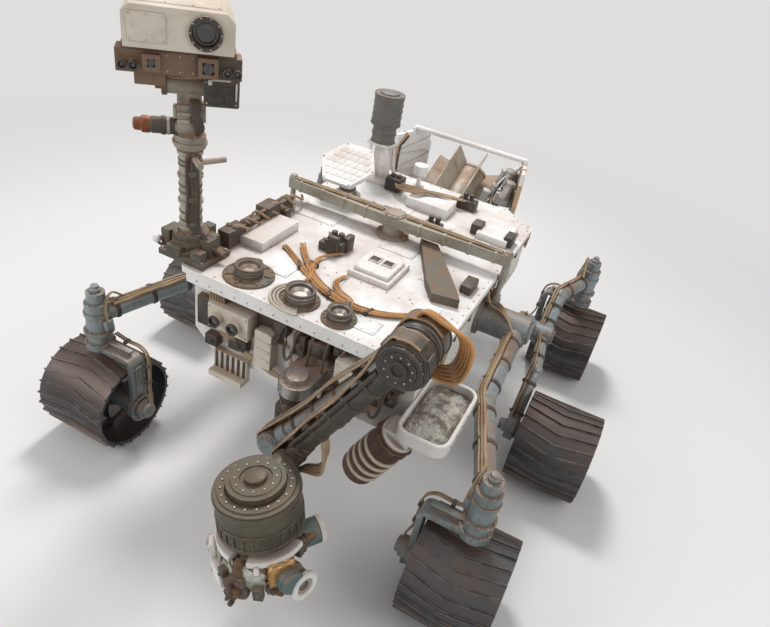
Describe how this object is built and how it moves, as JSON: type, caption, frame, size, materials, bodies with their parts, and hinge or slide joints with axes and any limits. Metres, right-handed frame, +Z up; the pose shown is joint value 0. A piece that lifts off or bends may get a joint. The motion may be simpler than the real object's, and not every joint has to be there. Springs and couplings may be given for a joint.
{
  "type": "planetary rover",
  "caption": "Wheeled planetary rover with rocker suspension, camera mast, folding arm with a tool turret and a finned power unit.",
  "frame": {"origin": "ground point under the middle of the overall box", "axes": "+Z up, -Y the rover's front, +X its left side"},
  "size_m": [2.8, 3.2424, 2.211],
  "materials": {
    "bare_aluminium": "satin",
    "dark_aluminium": "matt",
    "dark_paint": "matt",
    "white_paint": "matt"
  },
  "bodies": {
    "chassis": {"belly_pan": "bare_aluminium", "bogie_left": "dark_aluminium", "bogie_right": "dark_aluminium", "cable_duct": "dark_paint", "chassis": "white_paint", "corner_tray": "white_paint", "deck": "white_paint", "deck_boxes": "white_paint", "differential_bar": "bare_aluminium", "dish_base": "bare_aluminium", "exchanger_bridge": "bare_aluminium", "front_boxes": "white_paint", "heat_exchanger_left": "white_paint", "heat_exchanger_right": "white_paint", "low_gain_antenna": "white_paint", "mast_foot": "bare_aluminium", "mast_tube": "bare_aluminium", "power_unit": "dark_paint", "rear_frame": "bare_aluminium", "relay_antenna": "dark_paint", "relay_bracket": "white_paint", "rocker_left": "dark_aluminium", "rocker_right": "dark_aluminium", "sample_inlets": "bare_aluminium", "shoulder_bracket": "bare_aluminium", "target_disc": "dark_paint"},
    "wheel_fl": {"wheel_fl": "dark_aluminium"},
    "wheel_fr": {"wheel_fr": "dark_aluminium"},
    "wheel_ml": {"wheel_ml": "dark_aluminium"},
    "wheel_mr": {"wheel_mr": "dark_aluminium"},
    "wheel_rl": {"wheel_rl": "dark_aluminium"},
    "wheel_rr": {"wheel_rr": "dark_aluminium"},
    "steer_fl": {"knuckle_fl": "dark_aluminium"},
    "steer_fr": {"knuckle_fr": "dark_aluminium"},
    "steer_rl": {"knuckle_rl": "dark_aluminium"},
    "steer_rr": {"knuckle_rr": "dark_aluminium"},
    "mast_pan": {"mast_neck": "bare_aluminium"},
    "camera_head": {"head_frame": "white_paint", "laser_box": "white_paint", "camera_bar": "dark_paint"},
    "arm_base": {"shoulder": "bare_aluminium"},
    "upper_arm": {"upper_arm": "bare_aluminium"},
    "forearm": {"forearm": "bare_aluminium"},
    "wrist": {"wrist": "bare_aluminium"},
    "turret": {"turret_hub": "bare_aluminium", "drill": "bare_aluminium", "close_camera": "bare_aluminium", "spectrometer": "bare_aluminium", "brush": "bare_aluminium", "sieve": "bare_aluminium"},
    "dish_pan": {"dish_yoke": "bare_aluminium"},
    "dish": {"dish": "white_paint"}
  },
  "joints": [
    {"name": "wheel_fl_spin", "type": "hinge", "parent": "steer_fl", "child": "wheel_fl", "pos_m": [1.02, -0.9212, 0.25], "axis": [1, 0, 0], "continuous": true},
    {"name": "wheel_fr_spin", "type": "hinge", "parent": "steer_fr", "child": "wheel_fr", "pos_m": [-1.02, -0.9212, 0.25], "axis": [1, 0, 0], "continuous": true},
    {"name": "wheel_ml_spin", "type": "hinge", "parent": "chassis", "child": "wheel_ml", "pos_m": [1.2, 0.1288, 0.25], "axis": [1, 0, 0], "continuous": true},
    {"name": "wheel_mr_spin", "type": "hinge", "parent": "chassis", "child": "wheel_mr", "pos_m": [-1.2, 0.1288, 0.25], "axis": [1, 0, 0], "continuous": true},
    {"name": "wheel_rl_spin", "type": "hinge", "parent": "steer_rl", "child": "wheel_rl", "pos_m": [1.02, 1.2588, 0.25], "axis": [1, 0, 0], "continuous": true},
    {"name": "wheel_rr_spin", "type": "hinge", "parent": "steer_rr", "child": "wheel_rr", "pos_m": [-1.02, 1.2588, 0.25], "axis": [1, 0, 0], "continuous": true},
    {"name": "steer_fl_turn", "type": "hinge", "parent": "chassis", "child": "steer_fl", "pos_m": [1.02, -0.9212, 0.6], "axis": [0, 0, 1], "range_deg": [-90, 90]},
    {"name": "steer_fr_turn", "type": "hinge", "parent": "chassis", "child": "steer_fr", "pos_m": [-1.02, -0.9212, 0.6], "axis": [0, 0, 1], "range_deg": [-90, 90]},
    {"name": "steer_rl_turn", "type": "hinge", "parent": "chassis", "child": "steer_rl", "pos_m": [1.02, 1.2588, 0.6], "axis": [0, 0, 1], "range_deg": [-90, 90]},
    {"name": "steer_rr_turn", "type": "hinge", "parent": "chassis", "child": "steer_rr", "pos_m": [-1.02, 1.2588, 0.6], "axis": [0, 0, 1], "range_deg": [-90, 90]},
    {"name": "mast_pan_turn", "type": "hinge", "parent": "chassis", "child": "mast_pan", "pos_m": [-0.65, -0.6712, 1.64], "axis": [0, 0, 1], "range_deg": [-210, 130]},
    {"name": "head_tilt", "type": "hinge", "parent": "mast_pan", "child": "camera_head", "pos_m": [-0.65, -0.6712, 1.905], "axis": [0.766, 0.6428, 0], "range_deg": [-60, 45]},
    {"name": "shoulder_yaw", "type": "hinge", "parent": "chassis", "child": "arm_base", "pos_m": [0.1, -0.8912, 0.69], "axis": [0, 0, 1], "range_deg": [-90, 0]},
    {"name": "shoulder_pitch", "type": "hinge", "parent": "arm_base", "child": "upper_arm", "pos_m": [0.1, -1.0212, 0.62], "axis": [0, -1, 0], "range_deg": [-10, 35]},
    {"name": "elbow", "type": "hinge", "parent": "upper_arm", "child": "forearm", "pos_m": [0.64, -1.1612, 1.43], "axis": [0, 1, 0], "range_deg": [0, 150]},
    {"name": "wrist_pitch", "type": "hinge", "parent": "forearm", "child": "wrist", "pos_m": [0.255, -1.3792, 0.74], "axis": [0, 1, 0], "range_deg": [-20, 90]},
    {"name": "turret_turn", "type": "hinge", "parent": "wrist", "child": "turret", "pos_m": [0.255, -1.3792, 0.74], "axis": [0.1736, 0, -0.9848], "range_deg": [-170, 170]},
    {"name": "dish_pan_turn", "type": "hinge", "parent": "chassis", "child": "dish_pan", "pos_m": [-0.43, 0.4388, 1.152], "axis": [0, 0, 1], "range_deg": [-175, 175]},
    {"name": "dish_tilt", "type": "hinge", "parent": "dish_pan", "child": "dish", "pos_m": [-0.43, 0.4388, 1.262], "axis": [1, 0, 0], "range_deg": [-60, 30]}
  ]
}
